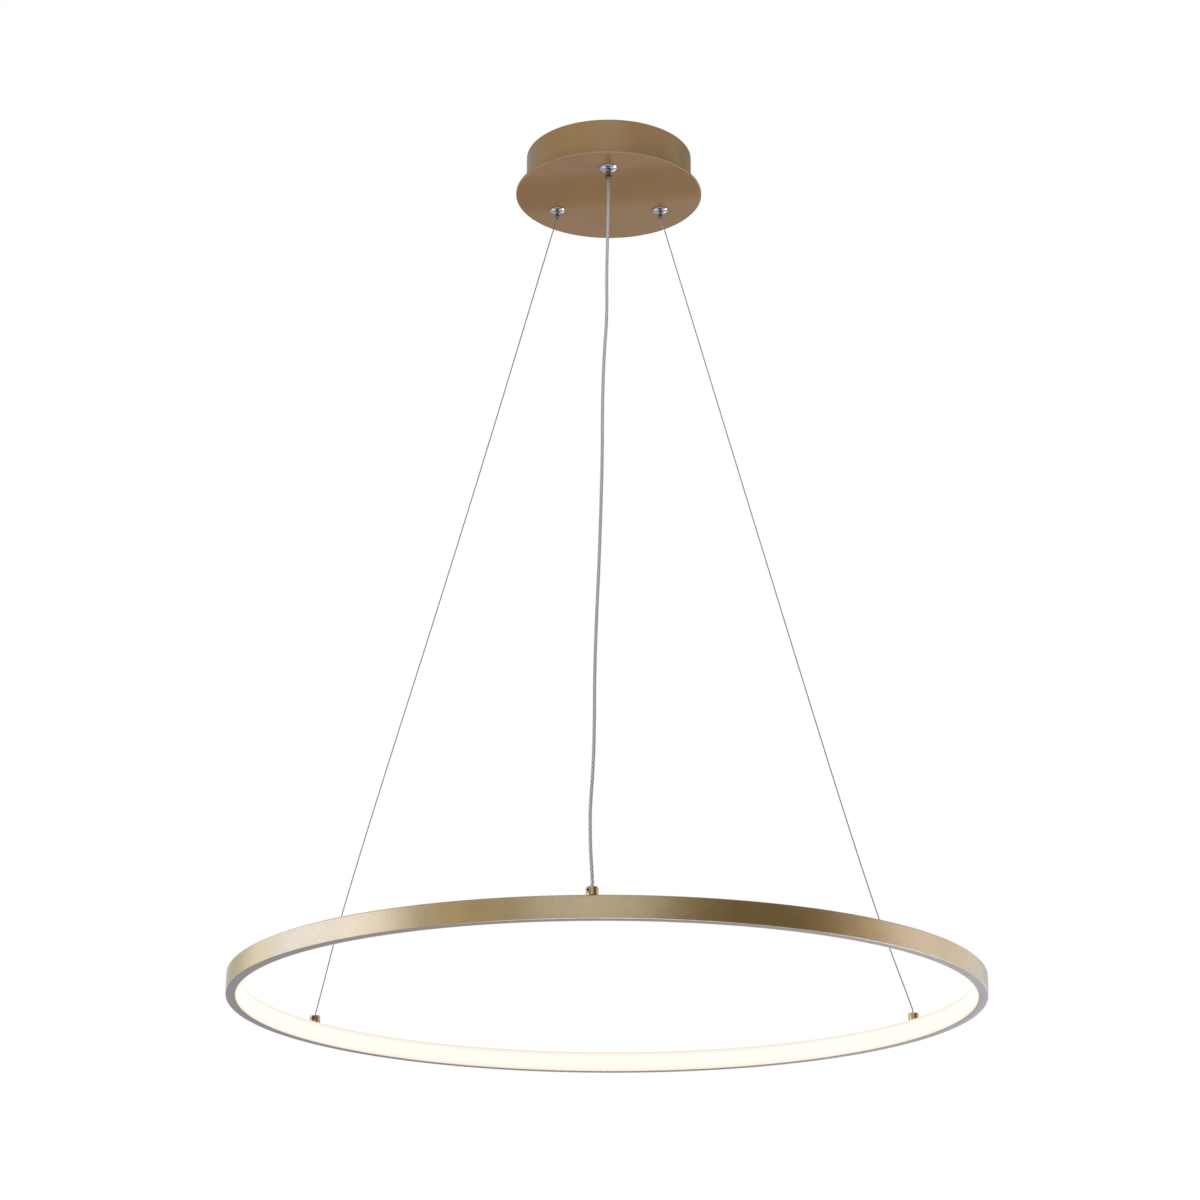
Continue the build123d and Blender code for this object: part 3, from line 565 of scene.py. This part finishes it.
# Ring: the channel with softened edges, and the crowned diffuser in its mouth
def ring_section(top, bottom, outer):
    """Outline of the channel's section."""
    mouth = outer - flange_depth
    rib = mouth + snap_rib_depth
    wall = outer - profile_wall
    upper, lower = top - profile_wall, bottom + profile_wall
    corners = [
        (mouth, top), (outer - profile_bevel, top), (outer, top - profile_bevel),
        (outer, bottom + profile_bevel), (outer - profile_bevel, bottom), (mouth, bottom),
        (mouth, lower + snap_rib_height), (rib, lower + snap_rib_height), (rib, lower),
        (wall, lower), (wall, upper),
        (rib, upper), (rib, upper - snap_rib_height), (mouth, upper - snap_rib_height),
    ]
    return softened([Vector(corner) for corner in reversed(corners)], edge_softness)


def diffuser_section(top, bottom, mouth):
    """Outline of the diffuser's face, with its crown towards the ring's middle."""
    back = mouth - diffuser_gap
    middle = (top + bottom) / 2
    half = (top - bottom) / 2
    outline = [Vector((back, top)), Vector((back, bottom))]
    for step in range(crown_steps + 1):
        share = 2 * step / crown_steps - 1
        crown = diffuser_crown * (1 - share ** 2)
        outline.append(Vector((back - diffuser_thickness + diffuser_crown - crown, middle + share * half)))
    return outline


def make_ring():
    """Ring profile and diffuser."""
    low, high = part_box("ring_profile")
    coat = pearl_paint(
        "champagne_coat", ring_tone, metal=0.55, contrast=0.32, coat=ring_coat, bare_below=low.z + bare_edge)
    points, faces = lathe(ring_section(high.z, low.z, high.x), ring_segments)
    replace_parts(add_piece("ring_shell", points, faces, coat, "ring"), "ring_profile")
    top, bottom = high.z - diffuser_edge_gap, low.z + diffuser_edge_gap
    section = diffuser_section(top, bottom, high.x - flange_depth)
    points, faces = lathe(section, ring_segments)
    band = add_piece("diffuser_band", points, faces, opal(bottom, top), "ring")
    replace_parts(band, "diffuser")


# Lines: stranded wires and the waved cord, from their grippers to their ferrules
wire_routes = {
    "left": [
        (-0.045466, 0.02625, -0.00663), (-0.045466, 0.02625, -0.0366), (-0.045466, 0.02625, -0.0426),
        (-0.047196, 0.027402, -0.04822), (-0.1265, 0.0805, -0.3174), (-0.2232, 0.1415, -0.627),
        (-0.246604, 0.160124, -0.72118), (-0.248332, 0.161274, -0.7268), (-0.248332, 0.161274, -0.7338),
    ],
    "right": [
        (0.045466, 0.02625, -0.00663), (0.045466, 0.02625, -0.0366), (0.045466, 0.02625, -0.0426),
        (0.047283, 0.02728, -0.04822), (0.1274, 0.0745, -0.3174), (0.2207, 0.1287, -0.627),
        (0.255643, 0.145233, -0.72118), (0.25746, 0.146262, -0.7268), (0.25746, 0.146262, -0.7338),
    ],
}
cord_route = [
    (0.0, -0.0525, -0.01426), (0.0, -0.0525, -0.0401), (0.0, -0.0525, -0.0452),
    (0.0, -0.0541, -0.05), (-0.0001, -0.064, -0.0795), (-0.0005, -0.078, -0.1175),
    (-0.0011, -0.092, -0.157), (-0.0006, -0.1085, -0.203), (-0.003, -0.124, -0.2465),
    (-0.0039, -0.1415, -0.2955), (-0.0037, -0.16, -0.347), (-0.0046, -0.1795, -0.4015),
    (-0.0058, -0.1985, -0.455), (-0.0075, -0.217, -0.5065), (-0.0084, -0.234, -0.5535),
    (-0.0082, -0.249, -0.5955), (-0.0088, -0.262, -0.632), (-0.0109, -0.274, -0.666),
    (-0.0103, -0.2855, -0.698), (-0.00889, -0.29391, -0.7195), (-0.00878, -0.29597, -0.7252),
    (-0.00878, -0.29597, -0.7386),
]


def strand_radius(length, angle):
    """Radius of a stranded wire: strands side by side that wind along it."""
    ridge = abs(cos(wire_strands / 2 * (angle - tau * length / wire_lay)))
    return wire_diameter / 2 * (1 - wire_groove * (1 - ridge))


def split_at(line, height):
    """A falling line's points down to a height and from there on, with one shared point."""
    index = next(number for number, point in enumerate(line) if point.z < height)
    above, below = line[index - 1], line[index]
    shared = above.lerp(below, (above.z - height) / (above.z - below.z))
    return line[:index] + [shared], [shared] + line[index:]


def hang(side, names, line, sides, radius_at, shader):
    """A line's pieces, in its gripper, hanging and held in its ferrule, and the hanging points."""
    gripped, free = split_at(line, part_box("release_collar_" + side)[0].z)
    hung, held = split_at(free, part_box("ferrule_" + side)[1].z)
    parts = zip(names, (gripped, hung, held), ("canopy", "canopy", "ring"))
    pieces = [tube_piece(name, path, sides, radius_at, shader, body) for name, path, body in parts]
    return *pieces, hung


def follow_ring(obj):
    """Give a hanging line its own copy of its mesh."""
    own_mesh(obj)


def make_lines():
    """Wires and cord."""
    steel = polished("wire_steel", linear(136, 136, 146), roughness=0.42)
    for side, route in wire_routes.items():
        line = spaced(smooth_line(route, wire_resolution), wire_step)
        names = ["wire_" + part + "_" + side for part in ("top", "strands", "end")]
        top, wire, end, hung = hang(side, names, line, wire_sides, strand_radius, steel)
        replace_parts(wire, "wire_" + side)
        follow_ring(wire)
    braid = braided_cord()
    line = spaced(smooth_line(cord_route, cord_resolution), cord_step)
    names = ["cord_top", "braided_cord", "cord_end"]
    top, cord, end, hung = hang(
        "cord", names, line, cord_sides, round_line(cord_diameter), braid)
    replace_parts(cord, "power_cord")
    follow_ring(cord)
    braid.put_on("cord_tail")


# Grip springs: coils between plunger and cap
def make_springs():
    """A coil in each gripper, between plunger and cap."""
    steel = polished("spring_steel", linear(150, 150, 155), roughness=0.25)
    steps = int(steps_per_turn * spring_turns)
    for side, wire in spring_wires.items():
        low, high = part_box("grip_spring_" + side)
        middle = (low + high) / 2
        radius = (high.x - low.x) / 2 - wire / 2
        line = []
        for step in range(steps + 1):
            angle = tau * spring_turns * step / steps
            height = low.z + wire / 2 + (high.z - low.z - wire) * step / steps
            line.append(Vector((middle.x + radius * cos(angle), middle.y + radius * sin(angle), height)))
        coil = tube_piece(
            "grip_coil_" + side, line, coil_sides, round_line(wire), steel, "canopy")
        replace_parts(coil, "grip_spring_" + side)
        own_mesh(coil)


# Finishes of the solids that show as they are
def finish_solids():
    """Materials of canopy, grippers, ferrules and what the canopy holds."""
    sides = ("left", "right", "cord")
    # The plate gets a darker copy of the drum's paint, a painted shade, and a painted highlight on its rim
    # chamfer
    plate_shaded_paint = pearl_paint("plate_shaded_paint", plate_shaded_tone, metal=0.1, contrast=0.1, coat=plate_coat)
    painted_rim_highlight(plate_shaded_paint.put_on("canopy_plate"), drum_tone)
    pearl_paint("drum_paint", drum_tone, metal=0.1, contrast=0.1, coat=drum_coat).put_on("canopy_drum")
    bright = linear(170, 172, 183)
    chrome = polished("chrome", bright, roughness=0.07)
    # Painted shade on the chrome flanges where they meet the plate
    painted_seam_shade(chrome, bright)
    nickel = polished("dark_nickel", linear(130, 130, 136), roughness=0.1)
    for side in sides:
        chrome.put_on("grip_body_" + side, "plunger_" + side)
        nickel.put_on("release_collar_" + side)
    chrome.put_on("wire_grip_caps", "cord_grip_cap")
    polished("screw_steel", linear(122, 114, 106), roughness=0.42).put_on("ferrule_set_screws")
    brass = polished("turned_brass", linear(164, 138, 96), roughness=0.38, stretch=27.0)
    brass.put_on("terminal_inserts", *("ferrule_" + side for side in sides))
    zinc("zinc_plate", linear(176, 178, 180)).put_on(
        "ceiling_bracket", "weld_studs", "plate_nuts", "fixing_nuts", "canopy_side_screws", "earth_screw",
        "earth_lug", "wire_grip_locknuts", "cord_grip_locknut", "terminal_screws", "hanger_blocks",
        *("grip_balls_" + side for side in sides))
    moulded("driver_white", linear(228, 228, 224), roughness=0.5).put_on(
        "driver_case", "driver_lid", "terminal_block", "output_plug", "output_socket")
    moulded("board_green", linear(28, 92, 52), roughness=0.35, grain_scale=500.0).put_on("driver_board")
    moulded("component_black", linear(36, 36, 39), roughness=0.45).put_on(
        "driver_transformer", "driver_capacitors")
    moulded("lead_brown", linear(98, 54, 30), roughness=0.4).put_on("live_lead")
    moulded("lead_blue", linear(36, 84, 160), roughness=0.4).put_on("neutral_lead")
    moulded("lead_black", linear(28, 28, 30), roughness=0.4).put_on("output_leads", "strip_leads")
    moulded("strip_white", linear(236, 236, 230), roughness=0.5).put_on("led_strip")
    glowing("led_phosphor", linear(255, 225, 150), strength=1.0).put_on("led_chips")
    earth_lead().put_on("earth_lead")


# Stage: a pale floor, a white surround, soft lamps and panels for the reflections
def seen_rays(tree):
    """1 for rays from the camera, from reflections and through clear pieces, or else 0."""
    rays = tree.nodes.new("ShaderNodeLightPath")
    seen = rays.outputs["Is Camera Ray"]
    for kind in ("Is Glossy Ray", "Is Transmission Ray"):
        either = tree.nodes.new("ShaderNodeMath")
        either.operation = "MAXIMUM"
        tree.links.new(seen, either.inputs[0])
        tree.links.new(rays.outputs[kind], either.inputs[1])
        seen = either.outputs[0]
    return seen


def add_plane(name, corners, shader):
    """Flat four-cornered piece of the stage."""
    mesh = bpy.data.meshes.new(name)
    mesh.from_pydata(corners, [], [(0, 1, 2, 3)])
    mesh.materials.append(shader.material)
    obj = bpy.data.objects.new(name, mesh)
    scene.collection.objects.link(obj)
    return obj


def make_floor():
    """Plain pale floor, a room's height under the ceiling."""
    shader = Shader("floor", Roughness=0.9, Base_Color=(0.88, 0.88, 0.88, 1.0), Specular_IOR_Level=0.1,
                    Emission_Color=(1.0, 1.0, 1.0, 1.0))
    glow = shader.span(seen_rays(shader.tree), low=0.0, high=floor_glow)
    shader.set(shader.principled, {"Emission Strength": glow})
    corners = ((-1, -1), (1, -1), (1, 1), (-1, 1))
    floor = add_plane("floor", [(x * floor_half, y * floor_half, floor_level) for x, y in corners], shader)


def make_world():
    """White surround that the camera and reflections see, and softer light from all round."""
    world = bpy.data.worlds.new("surround")
    world.use_nodes = True
    tree = world.node_tree
    tree.nodes.clear()
    strength = tree.nodes.new("ShaderNodeMapRange")
    strength.inputs["To Min"].default_value = surround_light
    strength.inputs["To Max"].default_value = surround_seen
    tree.links.new(seen_rays(tree), strength.inputs["Value"])
    background = tree.nodes.new("ShaderNodeBackground")
    background.inputs["Color"].default_value = (1.0, 1.0, 1.0, 1.0)
    tree.links.new(strength.outputs[0], background.inputs["Strength"])
    output = tree.nodes.new("ShaderNodeOutputWorld")
    tree.links.new(background.outputs[0], output.inputs["Surface"])
    scene.world = world


def softbox(name, place, target, size, brightness):
    """Square lamp of a given brightness, turned to a target."""
    data = bpy.data.lights.new(name, "AREA")
    data.shape = "SQUARE"
    data.size = size
    data.energy = brightness * pi * size ** 2
    obj = bpy.data.objects.new(name, data)
    obj.location = place
    obj.rotation_mode = "QUATERNION"
    obj.rotation_quaternion = (Vector(target) - Vector(place)).to_track_quat("-Z", "Y")
    obj.visible_camera = False
    obj.visible_glossy = False
    scene.collection.objects.link(obj)


def make_lamps():
    """Soft lamps: two at the left, one at the right, a weak one below and one for the canopy."""
    ring_middle, canopy_middle = (0.0, 0.0, -0.75), (0.0, 0.0, 0.0)
    softbox("left_lamp", (-1.5, -0.5, -0.95), ring_middle, size=0.8, brightness=3.5)
    softbox("right_lamp", (1.4, 0.2, -1.1), ring_middle, size=0.8, brightness=6.5)
    softbox("front_lamp", (-1.6, -1.3, -0.9), ring_middle, size=0.9, brightness=3.2)
    softbox("under_lamp", (0.0, 0.4, -2.5), ring_middle, size=2.4, brightness=0.15)
    softbox("canopy_lamp", (0.02, -0.5, 0.25), canopy_middle, size=0.3, brightness=4.9)


def add_card(name, corners, brightness, tint=plain):
    """Panel that only reflections show."""
    shade = (*(brightness * channel for channel in tint), 1.0)
    shader = Shader(
        name, Base_Color=(0, 0, 0, 1), Specular_IOR_Level=0.0, Emission_Color=shade, Emission_Strength=1.0)
    card = add_plane(name, corners, shader)
    for rays in ("camera", "diffuse", "transmission", "shadow", "volume_scatter"):
        setattr(card, "visible_" + rays, False)


def upright_card(name, start, end, bottom, top, brightness, tint=plain):
    """Upright panel between two points of the plan."""
    add_card(name, [(*start, bottom), (*end, bottom), (*end, top), (*start, top)], brightness, tint)


def on_circle(degrees):
    """Point of the plan at an angle from the front."""
    return panel_reach * sin(radians(degrees)), -panel_reach * cos(radians(degrees))


def make_cards():
    """Panels round the object, over the floor, behind the camera and far behind the object."""
    # Name, first and last angle from the front, lower and upper edge, brightness and tint
    panels = (
        ("left_wing", -150, -128, low_side, high_side, 0.4, cool),
        ("left_card", -128, -108, low_side, high_side, 1.9, warm),
        ("left_shine", -108, -82, low_side, high_side, 2.7, cold),
        ("left_edge", -82, -60, low_side, high_side, 4.0, cool),
        ("left_dark", -60, -22, low_side, tall_side, 0.45, plain),
        ("front_card", -22, 15, low_side, high_side, 2.2, fresh),
        ("right_dark", 15, 66, ground, tall_side, 0.0, plain),
        ("right_shade", 66, 86, low_side, high_side, 0.9, amber),
        ("right_card", 86, 108, low_side, high_side, 2.5, plain),
        ("right_wing", 108, 145, low_side, high_side, 1.3, plain),
        ("right_end", 145, 165, low_side, high_side, 0.45, cold),
        ("left_ceiling", -178, -60, high_side, roof, 0.5, plain),
        ("right_ceiling", 70, 115, high_side, roof, 0.6, plain),
        ("rear_ceiling", 115, 178, high_side, roof, 0.28, plain),
    )
    for name, first, last, bottom, top, brightness, tint in panels:
        upright_card(name, on_circle(first), on_circle(last), bottom, top, brightness, tint)
    # Name, middle, half sizes and brightness
    spots = (
        ("front_spot", 0.0, -0.92, 0.8, 0.22, 10.0),
        ("left_spot", -1.7, 0.3, 0.3, 0.5, 2.0),
        ("right_spot", 2.2, 1.3, 0.6, 1.4, 7.0),
        ("under_dark", 0.0, 1.0, 0.45, 0.6, 0.1),
        ("left_gleam", -1.1, 2.2, 0.4, 0.4, 2.5),
        ("right_gleam", 1.1, 2.2, 0.4, 0.4, 2.5),
    )
    for name, x, y, half_x, half_y, brightness in spots:
        left, right, near, far = x - half_x, x + half_x, y - half_y, y + half_y
        corners = [(left, near), (right, near), (right, far), (left, far)]
        add_card(name, [(*corner, spot_level) for corner in corners], brightness)
    # Dark band that the middle of the canopy's plate reflects
    band = ((-0.33, 4.755), (0.29, 4.635), (0.29, 4.82), (-0.33, 4.94))
    add_card("plate_dark", [(*corner, spot_level) for corner in band], brightness=0.0)
    upright_card("camera_dark", (-1.6, -3.3), (1.6, -3.3), ground, top=-1.0, brightness=0.02)
    upright_card("right_back", (0.6, 6.0), (4.5, 6.0), ground, top=-0.8, brightness=2.3)


camera()
make_ring()
make_lines()
make_springs()
finish_solids()
make_floor()
make_world()
make_lamps()
make_cards()
